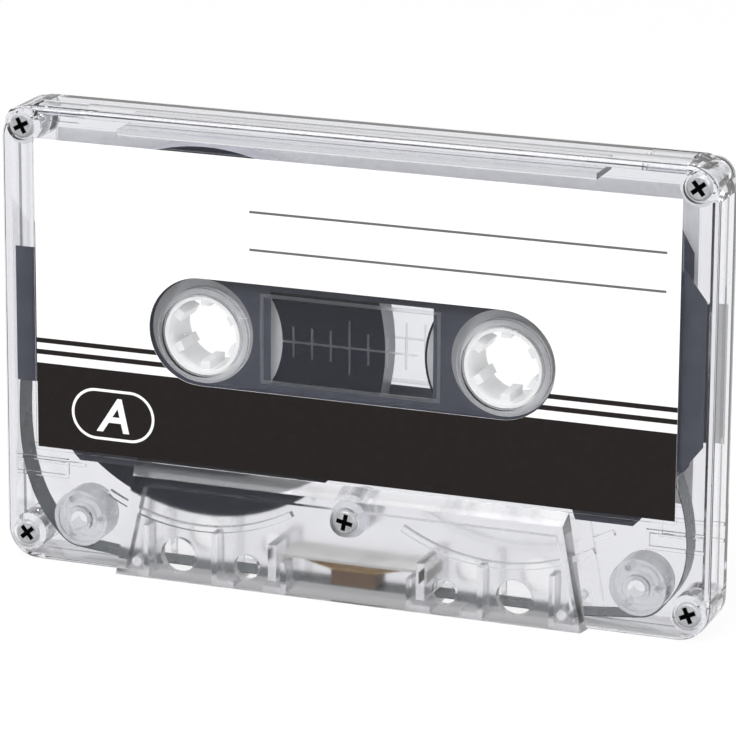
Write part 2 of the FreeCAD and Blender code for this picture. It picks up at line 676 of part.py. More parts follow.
def build_hub(name, sign):
    """Tape hub: rim, thin web, collar for the shell's hole and six drive teeth."""
    body = new_body(name)
    centre = (sign + "reel_offset", "reel_height")
    for part, radius, half in (("disc", "hub_radius", "hub_half_height"),
                               ("collar", "hub_collar_radius", "hub_collar_half")):
        sketch = new_sketch(body, "%s_%s" % (name, part), centre=centre)
        add_circle(sketch, "0", "0", radius)
        add_circle(sketch, "0", "0", "hub_bore_radius")
        pad_both_ways(body, sketch, half)
    for face, side in (("hub_half_height", "front"), ("-hub_half_height", "back")):
        web = new_sketch(body, "%s_web_%s" % (name, side), face, centre=centre)
        add_circle(web, "0", "0", "hub_radius - hub_rim_width")
        add_circle(web, "0", "0", "hub_collar_root")
        add_pocket(body, web, "hub_half_height - hub_web_half", outward=side == "back")
    notch = new_sketch(body, name + "_notch", centre=centre)
    add_sector(notch, "0", "0", "hub_radius - clamp_depth", "hub_radius + clamp_depth",
               "270 - clamp_angle", "270 + clamp_angle")
    pocket_both_ways(body, notch, "hub_half_height")
    tooth = new_sketch(body, name + "_tooth", centre=centre)
    add_box(tooth, "-tooth_width / 2", "tooth_width / 2",
            "tooth_tip_radius", "(hub_bore_radius + hub_collar_radius) / 2")
    repeat_round(body, tooth, pad_both_ways(body, tooth, "tooth_half_height"), "tooth_count")


def repeat_round(body, sketch, feature, count):
    """Repeat a feature in a full circle about its sketch's origin."""
    ring = body.newObject("PartDesign::PolarPattern", feature.Name + "_ring")
    ring.Originals = [feature]
    ring.Axis = (sketch, ["N_Axis"])
    ring.Angle = 360
    bind(ring, "Occurrences", count)
    body.Tip = ring
    doc.recompute()


def pad_both_ways(body, sketch, half):
    """Raise a sketch by the same height on both sides of the split."""
    pad = body.newObject("PartDesign::Pad", sketch.Name + "_pad")
    pad.Profile = sketch
    pad.Midplane = True
    bind(pad, "Length", "2 * (%s)" % half)
    doc.recompute()
    return pad


def pocket_both_ways(body, sketch, half):
    """Cut a sketch to the same depth on both sides of the split."""
    before = body.Shape.Volume
    pocket = body.newObject("PartDesign::Pocket", sketch.Name + "_pocket")
    pocket.Profile = sketch
    pocket.Midplane = True
    bind(pocket, "Length", "2 * (%s)" % half)
    doc.recompute()
    if body.Shape.Volume >= before:
        raise RuntimeError("pocket %s cuts nothing" % pocket.Name)
    return pocket


def build_ring(name, sign, outer):
    """Wound tape between the hub and an outer radius."""
    body = new_body(name)
    sketch = new_sketch(body, name + "_ring", centre=(sign + "reel_offset", "reel_height"))
    add_circle(sketch, "0", "0", outer)
    add_circle(sketch, "0", "0", "hub_radius + winding_gap")
    pad_both_ways(body, sketch, "tape_half_width")


def build_clamp(name, sign):
    """Clamp that holds the leader in the hub's notch."""
    body = new_body(name)
    sketch = new_sketch(body, name + "_sector", centre=(sign + "reel_offset", "reel_height"))
    half = "clamp_angle - clamp_play"
    add_sector(sketch, "0", "0", "hub_radius - clamp_depth + clamp_gap", "hub_radius - clamp_gap",
               "270 - (%s)" % half, "270 + %s" % half)
    pad_both_ways(body, sketch, "tape_half_width")


def build_roller(name, sign):
    """Guide roller with a raised hub and a rim on each face, and lightening holes between them."""
    body = new_body(name)
    centre = (sign + "roller_offset", "roller_height")
    disc = new_sketch(body, name + "_disc", centre=centre)
    add_circle(disc, "0", "0", "roller_radius")
    add_circle(disc, "0", "0", "roller_bore_radius")
    pad_both_ways(body, disc, "roller_half_height")
    for face, side in (("roller_half_height", "front"), ("-roller_half_height", "back")):
        groove = new_sketch(body, "%s_groove_%s" % (name, side), face, centre=centre)
        add_circle(groove, "0", "0", "roller_radius - roller_rim_width")
        add_circle(groove, "0", "0", "roller_hub_radius")
        add_pocket(body, groove, "roller_face_depth", outward=side == "back")
    hole = new_sketch(body, name + "_hole", centre=centre)
    add_circle(hole, "roller_hole_reach", "0", "roller_hole_radius")
    repeat_round(body, hole, pocket_both_ways(body, hole, "roller_half_height"), "roller_hole_count")


def build_screw(name, across, up, face, turn):
    """Self-tapping screw: pan head with a cross, and a plain shank."""
    body = new_body(name)
    seat = "%s - screw_recess_depth + parting_gap" % face
    head = new_sketch(body, name + "_head", seat, centre=(across, up))
    add_circle(head, "0", "0", "screw_head_radius")
    pad = add_pad(body, head, "screw_head_thick")
    top = -value("%s + screw_head_thick" % seat)
    bevel = body.newObject("PartDesign::Chamfer", name + "_bevel")
    bevel.Base = (pad, ["Edge%d" % index for index, edge in enumerate(pad.Shape.Edges, start=1)
                        if abs(edge.BoundBox.YMax - top) < 1e-4])
    bind(bevel, "Size", "screw_head_bevel")
    doc.recompute()
    shank = new_sketch(body, name + "_shank", seat, centre=(across, up))
    add_circle(shank, "0", "0", "screw_shank_radius")
    add_pad(body, shank, "screw_length", inward=True)
    cross = new_sketch(body, name + "_cross", "%s + screw_head_thick" % seat, centre=(across, up))
    bind(cross, "AttachmentOffset.Rotation.Angle", turn)
    arm = "cross_length / 2"
    half = "cross_width / 2"
    add_outline(cross, [
        (arm, "-" + half), (arm, half), (half, half), (half, arm),
        ("-" + half, arm), ("-" + half, half), ("-" + arm, half), ("-" + arm, "-" + half),
        ("-" + half, "-" + half), ("-" + half, "-" + arm), (half, "-" + arm), (half, "-" + half),
    ])
    add_pocket(body, cross, "cross_depth", outward=False)


def build_pad_spring():
    """Bowed leaf spring behind the felt pad, with a flat foot at each end."""
    body = new_body("pad_spring")
    sketch = new_sketch(body, "pad_spring_profile")
    foot = "shield_low - spring_thick"
    flat = "pad_top"
    end = "spring_foot + spring_foot_length"
    lower = [("-(%s)" % end, foot), ("-spring_foot", foot), ("-pad_half_width", flat),
             ("pad_half_width", flat), ("spring_foot", foot), (end, foot)]
    upper = [(across, "%s + spring_thick" % up) for across, up in reversed(lower)]
    add_outline(sketch, lower + upper)
    pad_both_ways(body, sketch, "spring_half_depth")


def build_felt_pad():
    """Felt pad that presses the tape to the head."""
    body = new_body("felt_pad")
    sketch = new_sketch(body, "felt_pad_profile")
    add_box(sketch, "-pad_half_width", "pad_half_width", "tape_line + run_thick / 2 + pad_gap", "pad_top")
    pad_both_ways(body, sketch, "pad_half_depth")


def build_shield():
    """Shield plate behind the spring, with its ends turned down."""
    body = new_body("shield_plate")
    sketch = new_sketch(body, "shield_plate_profile")
    outer = "pillar_inner"
    inner = "pillar_inner - shield_thick"
    top = "shield_low + shield_thick"
    leg = "shield_low - shield_leg"
    add_outline(sketch, [
        ("-(%s)" % outer, top), ("-(%s)" % outer, leg), ("-(%s)" % inner, leg), ("-(%s)" % inner, "shield_low"),
        (inner, "shield_low"), (inner, leg), (outer, leg), (outer, top),
    ])
    pad_both_ways(body, sketch, "shield_half_depth")


def point(across, up):
    """Point half way through the thickness."""
    return FreeCAD.Vector(across, 0, up)


def named_point(sign, name):
    """Chosen point of the slack tape, by name."""
    return point(sign * value(name + "_reach"), value(name + "_height"))


def point_on_circle(centre, up, radius, angle):
    """Place and direction on a circle, turning anticlockwise as seen on side A."""
    turn = math.radians(value(angle))
    reach = value(radius)
    place = point(value(centre) + reach * math.cos(turn), value(up) + reach * math.sin(turn))
    return place, point(-math.sin(turn), math.cos(turn))


def slack_curve(places, leaving, arriving):
    """Smooth curve through places, with its directions at both ends."""
    curve = Part.BSplineCurve()
    curve.interpolate(Points=places, InitialTangent=leaving, FinalTangent=arriving)
    return curve


def beside(curve, gap):
    """Spline that keeps a distance to the right of another one's way."""
    first, last = curve.FirstParameter, curve.LastParameter
    places = []
    for step in range(BESIDE_STEPS + 1):
        spot = first + (last - first) * step / BESIDE_STEPS
        way, = curve.tangent(spot)
        places.append(curve.value(spot) + point(way.z, -way.x) * gap)
    return slack_curve(places, curve.tangent(first)[0], curve.tangent(last)[0])


def tape_slant():
    """Angle in degrees at which the tape comes down from a roller to its guide post."""
    across = value("roller_offset - guide_offset")
    drop = value("roller_height - (%s)" % GUIDE_HEIGHT)
    closer = value("roller_radius + roller_run_gap - guide_radius - guide_run_gap")
    return math.degrees(math.atan2(drop, across) - math.asin(closer / math.hypot(across, drop)))


def tape_arc(centre, up, radius, first, last):
    """Part of the tape's course round a roller or a post, between two angles."""
    angles = (first, "(%s + %s) / 2" % (first, last), last)
    return Part.Arc(*[point_on_circle(centre, up, radius, angle)[0] for angle in angles])


def tape_side(outwards):
    """One face of the tape run: slack, left roller and post, tape edge, right post and roller, slack."""
    wrap = "roller_radius + roller_run_gap"
    bend = "guide_radius + guide_run_gap + " + outwards
    around = "%s + %s" % (wrap, outwards)
    left_down, right_down = "(270 - %f)" % tape_slant(), "(270 + %f)" % tape_slant()
    start, leaving = point_on_circle("-reel_offset", "reel_height", "pack_radius + run_gap", "left_leave_angle")
    finish, arriving = point_on_circle("reel_offset", "reel_height", "leader_radius + run_gap", "right_leave_angle")
    on_left, left_way = point_on_circle("-roller_offset", "roller_height", wrap, "left_meet_angle")
    on_right, right_way = point_on_circle("roller_offset", "roller_height", wrap, "right_meet_angle")
    left_slack = [named_point(-1, name) for name in ("left_bow", "left_slack", "left_lead")]
    right_slack = [named_point(1, name) for name in ("right_lead", "right_slack", "right_bow", "right_return")]
    gap = value(outwards)
    left_post = tape_arc("-guide_offset", GUIDE_HEIGHT, bend, left_down, "270")
    left_roller = tape_arc("-roller_offset", "roller_height", around, "left_meet_angle", left_down)
    right_post = tape_arc("guide_offset", GUIDE_HEIGHT, bend, "270", right_down)
    right_roller = tape_arc("roller_offset", "roller_height", around, right_down, "right_meet_angle")
    return [
        beside(slack_curve([start] + left_slack + [on_left], leaving, left_way), gap),
        left_roller,
        Part.LineSegment(left_roller.EndPoint, left_post.StartPoint),
        left_post,
        Part.LineSegment(left_post.EndPoint, right_post.StartPoint),
        right_post,
        Part.LineSegment(right_post.EndPoint, right_roller.StartPoint),
        right_roller,
        beside(slack_curve([on_right] + right_slack + [finish], right_way, arriving), gap),
    ]


def build_tape_run():
    """Tape from pack to hub as one thin strip along its path."""
    width = value("tape_half_width")
    inner, outer = tape_side("0"), tape_side("run_thick")
    ends = [Part.LineSegment(inner[side].value(spot(inner[side])), outer[side].value(spot(outer[side])))
            for side, spot in ((-1, last_spot), (0, first_spot))]
    sides = [curve.toShape() for curve in inner + ends[:1] + outer[::-1] + ends[1:]]
    strip = Part.Face(Part.Wire(sides))
    strip.translate(FreeCAD.Vector(0, -width, 0))
    run = doc.addObject("Part::Feature", "tape_run")
    run.Shape = strip.extrude(FreeCAD.Vector(0, 2 * width, 0))
    run.Label = "tape_run"


def first_spot(curve):
    """Parameter at a curve's start."""
    return curve.FirstParameter


def last_spot(curve):
    """Parameter at a curve's end."""
    return curve.LastParameter


def check_document():
    """Stop if any object failed or any sub-part isn't a sound solid."""
    for item in doc.Objects:
        if "Invalid" in item.State or "Error" in item.State:
            raise RuntimeError("%s failed: %s" % (item.Name, item.State))
    for item in sub_parts():
        shape = item.Shape
        if shape.isNull() or not shape.isValid() or len(shape.Solids) != 1:
            raise RuntimeError("%s isn't one sound solid" % item.Label)


def sub_parts():
    """Bodies and features that are written to files."""
    return [item for item in doc.Objects
            if item.TypeId == "PartDesign::Body" or (item.TypeId == "Part::Feature" and item.Name == "tape_run")]


def write_parts():
    """Write each sub-part to its own file."""
    os.makedirs("parts", exist_ok=True)
    for item in sub_parts():
        item.Shape.exportStep("parts/%s.step" % item.Label)
        print("%-20s %9.2f mm3" % (item.Label, item.Shape.Volume))


build_shell("front_shell", heads=True, turned=False)
build_shell("back_shell", heads=False, turned=True)
for side, turned in (("front", False), ("back", True)):
    build_label(side + "_label", turned)
    build_liner(side + "_liner", turned)
for side, sign in (("left", "-"), ("right", "")):
    build_hub(side + "_hub", sign)
    build_clamp(side + "_hub_clamp", sign)
    build_roller(side + "_roller", sign)
build_ring("tape_pack", "-", "pack_radius")
build_ring("leader_turns", "", "leader_radius")
for screw in screw_points():
    build_screw(*screw)
build_pad_spring()
build_felt_pad()
build_shield()
build_tape_run()
doc.recompute()
check_document()
write_parts()
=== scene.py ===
import json
import logging
import math
from dataclasses import dataclass, replace
from enum import Enum
from typing import Iterable, Sequence

import bpy
from mathutils import Matrix, Vector

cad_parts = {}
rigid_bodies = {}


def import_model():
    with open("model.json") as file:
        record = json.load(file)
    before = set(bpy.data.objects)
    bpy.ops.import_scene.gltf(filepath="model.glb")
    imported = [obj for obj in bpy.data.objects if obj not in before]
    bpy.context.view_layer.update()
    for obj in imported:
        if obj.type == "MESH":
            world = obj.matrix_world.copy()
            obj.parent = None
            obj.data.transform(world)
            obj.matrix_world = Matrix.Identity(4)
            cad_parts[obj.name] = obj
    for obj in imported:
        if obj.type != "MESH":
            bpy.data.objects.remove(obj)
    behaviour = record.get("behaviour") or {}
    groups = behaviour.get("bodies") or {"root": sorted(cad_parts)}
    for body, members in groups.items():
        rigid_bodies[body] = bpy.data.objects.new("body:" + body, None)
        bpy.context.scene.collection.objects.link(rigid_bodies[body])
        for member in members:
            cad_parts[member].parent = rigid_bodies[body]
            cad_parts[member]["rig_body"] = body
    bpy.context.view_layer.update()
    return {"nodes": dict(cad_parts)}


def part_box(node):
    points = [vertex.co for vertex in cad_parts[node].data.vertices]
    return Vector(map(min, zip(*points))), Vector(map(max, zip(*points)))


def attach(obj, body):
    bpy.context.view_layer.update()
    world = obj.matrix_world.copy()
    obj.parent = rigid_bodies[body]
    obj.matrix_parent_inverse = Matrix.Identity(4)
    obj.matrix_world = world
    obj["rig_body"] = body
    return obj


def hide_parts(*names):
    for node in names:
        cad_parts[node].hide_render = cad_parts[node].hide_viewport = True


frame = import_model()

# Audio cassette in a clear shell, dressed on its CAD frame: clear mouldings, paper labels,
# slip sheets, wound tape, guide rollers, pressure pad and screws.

LOG = logging.getLogger("cassette")
MM = 0.001
NODES: dict[str, bpy.types.Object] = frame["nodes"]
PHOTO_SIDE_PX = 736
SHARP_ANGLE = 32.0
MERGE_DISTANCE = 1e-7
FLAT = 0.5

Colour = tuple[float, float, float]
Socket = bpy.types.NodeSocket


class Side(Enum):
    """The two faces of the cassette, with the way each one looks along Y."""

    FRONT = -1
    BACK = 1


def middle_of(node: str) -> Vector:
    """Middle of a CAD node's box, in metres."""
    low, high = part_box(node)
    return (Vector(low) + Vector(high)) / 2


def srgb(red: int, green: int, blue: int) -> Colour:
    """Linear colour from an 8-bit display colour.

    Args:
        red: Red, 0 to 255.
        green: Green, 0 to 255.
        blue: Blue, 0 to 255.

    Returns:
        The same colour in linear light.
    """
    def linear(level: int) -> float:
        """One channel in linear light.

        Args:
            level: The channel, 0 to 255.

        Returns:
            The channel, 0 to 1.
        """
        share = level / 255
        return share / 12.92 if share <= 0.04045 else ((share + 0.055) / 1.055) ** 2.4
    return linear(red), linear(green), linear(blue)


class Graph:
    """Adds and links the nodes of one shader or group tree."""

    def __init__(self, tree: bpy.types.NodeTree) -> None:
        """Start from an empty tree."""
        self.tree = tree
        tree.nodes.clear()

    def add(self, kind: str, links: dict[int | str, object] | None = None,
            **settings: object) -> bpy.types.Node:
        """Add a node.

        Args:
            kind: Blender's name of the node, such as ShaderNodeMath.
            links: Inputs by name or number, each a socket to link or a plain value.
            settings: Properties of the node itself.

        Returns:
            The new node.
        """
        node = self.tree.nodes.new(kind)
        for name, setting in settings.items():
            setattr(node, name, setting)
        for key, source in (links or {}).items():
            if isinstance(source, bpy.types.NodeSocket):
                self.tree.links.new(source, node.inputs[key])
            else:
                node.inputs[key].default_value = source
        return node

    def math(self, operation: str, *terms: Socket | float) -> Socket:
        """Result of one Math node over its terms."""
        node = self.add("ShaderNodeMath", dict(enumerate(terms)), operation=operation)
        return node.outputs[0]

    def mix(self, share: Socket | float, first: Socket | Sequence[float],
            second: Socket | Sequence[float]) -> Socket:
        """Colour between two colours.

        Args:
            share: 0 gives the first colour and 1 the second.
            first: Colour or socket.
            second: Colour or socket.

        Returns:
            The mixed colour's socket.
        """
        node = self.add("ShaderNodeMix", {0: share}, data_type="RGBA")
        for key, source in ((6, first), (7, second)):
            if isinstance(source, bpy.types.NodeSocket):
                self.tree.links.new(source, node.inputs[key])
            else:
                node.inputs[key].default_value = (*source, 1.0)
        return node.outputs[2]

    def noise(self, place: Socket, scale: float, detail: float = 3.0, roughness: float = 0.5) -> Socket:
        """Noise value over a place, about 0.5 on average.

        Args:
            place: Coordinates, in metres.
            scale: Cells per metre.
            detail: Octaves of finer noise.
            roughness: How strong the finer octaves are.

        Returns:
            The noise value's socket.
        """
        node = self.add("ShaderNodeTexNoise", {"Vector": place, "Scale": scale, "Detail": detail,
                                               "Roughness": roughness})
        return node.outputs[0]

    def ramp(self, source: Socket, low: float, high: float, at_low: Socket | float = 0.0,
             at_high: Socket | float = 1.0) -> Socket:
        """Straight, clamped mapping of a value.

        Args:
            source: The value.
            low: Value that gives at_low.
            high: Value that gives at_high.
            at_low: Result at the low end.
            at_high: Result at the high end.

        Returns:
            The result's socket.
        """
        node = self.add("ShaderNodeMapRange", {0: source, 1: low, 2: high, 3: at_low, 4: at_high})
        return node.outputs[0]

    def bump(self, height: Socket, distance: float, strength: float = 1.0) -> Socket:
        """Normal that follows a height.

        Args:
            height: The height, 0 to 1.
            distance: Depth of the relief, in metres.
            strength: Share of the relief that is used.

        Returns:
            The normal's socket.
        """
        node = self.add("ShaderNodeBump", {"Strength": strength, "Distance": distance, "Height": height})
        return node.outputs[0]


def new_group(name: str, inputs: dict[str, float],
              outputs: dict[str, str]) -> tuple[Graph, bpy.types.Node, bpy.types.Node]:
    """Start a shader node group.

    Args:
        name: The group's name.
        inputs: Number inputs with their default values; Place, a vector, always comes first.
        outputs: Outputs by name, each with its socket type.

    Returns:
        The graph, the group's input node and its output node.
    """
    tree = bpy.data.node_groups.new(name, "ShaderNodeTree")
    graph = Graph(tree)
    tree.interface.new_socket("Place", in_out="INPUT", socket_type="NodeSocketVector")
    for label, default in inputs.items():
        socket = tree.interface.new_socket(label, in_out="INPUT", socket_type="NodeSocketFloat")
        socket.default_value = default
    for label, kind in outputs.items():
        tree.interface.new_socket(label, in_out="OUTPUT", socket_type=kind)
    return graph, graph.add("NodeGroupInput"), graph.add("NodeGroupOutput")


class Effects:
    """Surface effects that several materials share, each built once as a node group.

    Scales are in cells per metre.
    """

    WAVE_SCALE = 120.0
    PIT_SCALE = 2600.0
    SCRATCH_TURN = 0.6
    SCRATCH_SCALE = (60.0, 400.0, 2600.0)
    WORN_SCALE = 240.0

    def __init__(self) -> None:
        """Build the groups."""
        self.relief = self._moulded_relief()
        self.rings = self._rings()
        self.band = self._band()

    @classmethod
    def _moulded_relief(cls) -> bpy.types.NodeTree:
        """Slow waves, fine pits and hair scratches of a moulding that has been handled."""
        graph, given, out = new_group("moulded_relief", {"Waves": 1.0, "Pits": 1.0, "Scratches": 1.0},
                                      {"Height": "NodeSocketFloat", "Wear": "NodeSocketFloat"})
        place = given.outputs["Place"]
        waves = graph.math("MULTIPLY", graph.noise(place, cls.WAVE_SCALE, 2.0), given.outputs["Waves"])
        pits = graph.math("MULTIPLY", graph.noise(place, cls.PIT_SCALE, 2.0), given.outputs["Pits"])
        stretched = graph.add("ShaderNodeMapping", {"Vector": place, "Rotation": (0.0, cls.SCRATCH_TURN, 0.0),
                                                    "Scale": cls.SCRATCH_SCALE})
        lines = graph.ramp(graph.noise(stretched.outputs[0], 1.0, 1.0), 0.66, 0.72)
        patches = graph.ramp(graph.noise(place, cls.WORN_SCALE, 2.0), 0.52, 0.7)
        wear = graph.math("MULTIPLY", graph.math("MULTIPLY", lines, patches), given.outputs["Scratches"])
        height = graph.math("SUBTRACT", graph.math("ADD", waves, pits), wear)
        graph.tree.links.new(height, out.inputs["Height"])
        graph.tree.links.new(wear, out.inputs["Wear"])
        return graph.tree

    @staticmethod
    def _rings() -> bpy.types.NodeTree:
        """Distance from an axis along Y, and bands that depend on it alone."""
        graph, given, out = new_group("rings", {"Across": 0.0, "Up": 0.0, "Pitch": 4000.0},
                                      {"Radius": "NodeSocketFloat", "Bands": "NodeSocketFloat"})
        parts = graph.add("ShaderNodeSeparateXYZ", {0: given.outputs["Place"]})
        across = graph.math("SUBTRACT", parts.outputs[0], given.outputs["Across"])
        up = graph.math("SUBTRACT", parts.outputs[2], given.outputs["Up"])
        radius = graph.math("SQRT", graph.math("ADD", graph.math("MULTIPLY", across, across),
                                               graph.math("MULTIPLY", up, up)))
        steps = graph.math("MULTIPLY", radius, given.outputs["Pitch"])
        noise = graph.add("ShaderNodeTexNoise", {"W": steps, "Scale": 1.0, "Detail": 3.0},
                          noise_dimensions="1D")
        graph.tree.links.new(radius, out.inputs["Radius"])
        graph.tree.links.new(noise.outputs[0], out.inputs["Bands"])
        return graph.tree

    @staticmethod
    def _band() -> bpy.types.NodeTree:
        """1 where a value lies between two limits, with a soft edge."""
        graph, given, out = new_group("band", {"Value": 0.0, "Low": 0.0, "High": 1.0, "Soft": 0.00003},
                                      {"Mask": "NodeSocketFloat"})
        value = given.outputs["Value"]
        soft = given.outputs["Soft"]
        rise = graph.math("DIVIDE", graph.math("SUBTRACT", value, given.outputs["Low"]), soft)
        fall = graph.math("DIVIDE", graph.math("SUBTRACT", given.outputs["High"], value), soft)
        both = graph.math("MINIMUM", rise, fall)
        clamp = graph.add("ShaderNodeClamp", {0: graph.math("ADD", both, 0.5)})
        graph.tree.links.new(clamp.outputs[0], out.inputs["Mask"])
        return graph.tree


@dataclass(frozen=True)
class Finish:
    """One finish: its name and the shader values that are the same all over.

    Reliefs are in millimetres and scales in cells per metre, here and in each finish below.
    """

    name: str
    roughness: float = 0.4
    ior: float = 1.5
    gloss: float = 0.5

    def start(self) -> tuple[bpy.types.Material, Graph, Socket, bpy.types.Node]:
        """Make the material with its output and its main shader.

        Returns:
            The material, its graph, the object coordinates and the main shader.
        """
        material = bpy.data.materials.new(self.name)
        material.use_nodes = True
        graph = Graph(material.node_tree)
        place = graph.add("ShaderNodeTexCoord").outputs["Object"]
        shader = graph.add("ShaderNodeBsdfPrincipled", {"Roughness": self.roughness, "IOR": self.ior,
                                                        "Specular IOR Level": self.gloss})
        graph.add("ShaderNodeOutputMaterial", {"Surface": shader.outputs[0]})
        return material, graph, place, shader

    @staticmethod
    def let_lamps_through(graph: Graph, shader: bpy.types.Node) -> None:
        """Let lamp light through a clear piece, so that what is inside is lit.

        Args:
            graph: The material's graph.
            shader: Its main shader.
        """
        out = next(node for node in graph.tree.nodes if node.bl_idname == "ShaderNodeOutputMaterial")
        clear = graph.add("ShaderNodeBsdfTransparent")
        rays = graph.add("ShaderNodeLightPath")
        mixed = graph.add("ShaderNodeMixShader", {0: rays.outputs["Is Shadow Ray"], 1: shader.outputs[0],
                                                  2: clear.outputs[0]})
        graph.tree.links.new(mixed.outputs[0], out.inputs["Surface"])


@dataclass(frozen=True)
class ClearPlastic(Finish):
    """Clear or slightly milky moulded plastic, with a finely textured head section where grain is over 0."""

    tint: Colour = (0.958, 0.96, 0.982)
    clarity: float = 1.0
    waves_mm: float = 0.012
    haze: float = 0.05
    grain: float = 0.0
    grain_top: float = 15.4
    grain_half: float = 33.0
    grain_fade: tuple[float, float] = (0.3, 1.0)
    tint_scale: float = 90.0
    tint_shade: float = 0.985
    pits: float = 0.06
    scratches: float = 0.25

    def build(self, effects: Effects) -> bpy.types.Material:
        """Make the material.

        Args:
            effects: Shared node groups.

        Returns:
            The clear material.
        """
        material, graph, place, shader = self.start()
        relief = graph.add("ShaderNodeGroup", node_tree=effects.relief)
        graph.tree.links.new(place, relief.inputs["Place"])
        relief.inputs["Pits"].default_value = self.pits
        relief.inputs["Scratches"].default_value = self.scratches
        shaded = tuple(level * self.tint_shade for level in self.tint)
        tint = graph.mix(graph.noise(place, self.tint_scale, 2.0), self.tint, shaded)
        graph.tree.links.new(tint, shader.inputs["Base Color"])
        shader.inputs["Transmission Weight"].default_value = self.clarity
        rough = graph.ramp(relief.outputs["Wear"], 0.0, self.scratches, self.roughness,
                           self.roughness + self.haze)
        if self.grain:
            grained = graph.math("MULTIPLY", self._grained(graph, place), self.grain)
            rough = graph.math("ADD", rough, grained)
        graph.tree.links.new(rough, shader.inputs["Roughness"])
        normal = graph.bump(relief.outputs["Height"], self.waves_mm * MM)
        graph.tree.links.new(normal, shader.inputs["Normal"])
        self.let_lamps_through(graph, shader)
        return material

    def _grained(self, graph: Graph, place: Socket) -> Socket:
        """Mask of the finely textured head section, soft at its rim.

        Args:
            graph: The material's graph.
            place: Object coordinates.

        Returns:
            The mask's socket.
        """
        up_fade, side_fade = self.grain_fade
        parts = graph.add("ShaderNodeSeparateXYZ", {0: place})
        below = graph.ramp(parts.outputs[2], (self.grain_top - up_fade) * MM, (self.grain_top + up_fade) * MM,
                           1.0, 0.0)
        reach = graph.math("ABSOLUTE", parts.outputs[0])
        within = graph.ramp(reach, (self.grain_half - side_fade) * MM, self.grain_half * MM, 1.0, 0.0)
        return graph.math("MULTIPLY", below, within)


@dataclass(frozen=True)
class WoundTape(Finish):
    """Edges of the wound tape: fine rings round the hub."""

    colour: Colour = srgb(12, 18, 32)
    light: Colour = srgb(26, 33, 50)
    turns: float = 9000.0
    turn_relief: float = 0.02
    turn_strength: float = 0.6
    spread: float = 0.15

    def build(self, effects: Effects, axis: Vector) -> bpy.types.Material:
        """Make the material.

        Args:
            effects: Shared node groups.
            axis: Place of the hub's axis, in metres.

        Returns:
            The ringed material.
        """
        material, graph, place, shader = self.start()
        rings = graph.add("ShaderNodeGroup", node_tree=effects.rings)
        graph.tree.links.new(place, rings.inputs["Place"])
        for name, value in (("Across", axis.x), ("Up", axis.z), ("Pitch", self.turns)):
            rings.inputs[name].default_value = value
        bands = rings.outputs["Bands"]
        tone = graph.mix(graph.ramp(bands, 0.3, 0.7), self.colour, self.light)
        rough = graph.ramp(bands, 0.3, 0.7, self.roughness, self.roughness + self.spread)
        graph.tree.links.new(tone, shader.inputs["Base Color"])
        graph.tree.links.new(rough, shader.inputs["Roughness"])
        graph.tree.links.new(graph.bump(bands, self.turn_relief * MM, self.turn_strength),
                             shader.inputs["Normal"])
        return material


@dataclass(frozen=True)
class DarkFilm(Finish):
    """Smooth film with a faint cloud: the slip sheets, the free run of tape and the packs' outer turns."""

    colour: Colour = srgb(76, 79, 92)
    light: Colour = srgb(85, 88, 101)
    relief_mm: float = 0.01
    scale: float = 300.0
    pits: float = 0.5
    spread: float = 0.12

    def build(self, effects: Effects) -> bpy.types.Material:
        """Make the material.

        Args:
            effects: Shared node groups.

        Returns:
            The film.
        """
        material, graph, place, shader = self.start()
        cloud = graph.noise(place, self.scale, 4.0, 0.6)
        tone = graph.mix(graph.ramp(cloud, 0.35, 0.65), self.colour, self.light)
        graph.tree.links.new(tone, shader.inputs["Base Color"])
        relief = graph.add("ShaderNodeGroup", node_tree=effects.relief)
        graph.tree.links.new(place, relief.inputs["Place"])
        relief.inputs["Pits"].default_value = self.pits
        normal = graph.bump(relief.outputs["Height"], self.relief_mm * MM)
        graph.tree.links.new(normal, shader.inputs["Normal"])
        rough = graph.ramp(cloud, 0.3, 0.7, self.roughness, self.roughness + self.spread)
        graph.tree.links.new(rough, shader.inputs["Roughness"])
        return material


@dataclass(frozen=True)
class Metal(Finish):
    """Plated or plain metal with fine rubbing marks."""

    colour: Colour = srgb(200, 200, 198)
    dull: Colour = srgb(120, 118, 114)
    scale: float = 900.0
    metallic: float = 1.0
    pits: float = 0.8
    relief_mm: float = 0.006
    spread: float = 0.2

    def build(self, effects: Effects) -> bpy.types.Material:
        """Make the material.

        Args:
            effects: Shared node groups.

        Returns:
            The metal.
        """
        material, graph, place, shader = self.start()
        relief = graph.add("ShaderNodeGroup", node_tree=effects.relief)
        graph.tree.links.new(place, relief.inputs["Place"])
        relief.inputs["Pits"].default_value = self.pits
        cloud = graph.ramp(graph.noise(place, self.scale, 3.0), 0.35, 0.7)
        graph.tree.links.new(graph.mix(cloud, self.colour, self.dull), shader.inputs["Base Color"])
        shader.inputs["Metallic"].default_value = self.metallic
        rough = graph.ramp(cloud, 0.0, 1.0, self.roughness, self.roughness + self.spread)
        graph.tree.links.new(rough, shader.inputs["Roughness"])
        normal = graph.bump(relief.outputs["Height"], self.relief_mm * MM)
        graph.tree.links.new(normal, shader.inputs["Normal"])
        return material


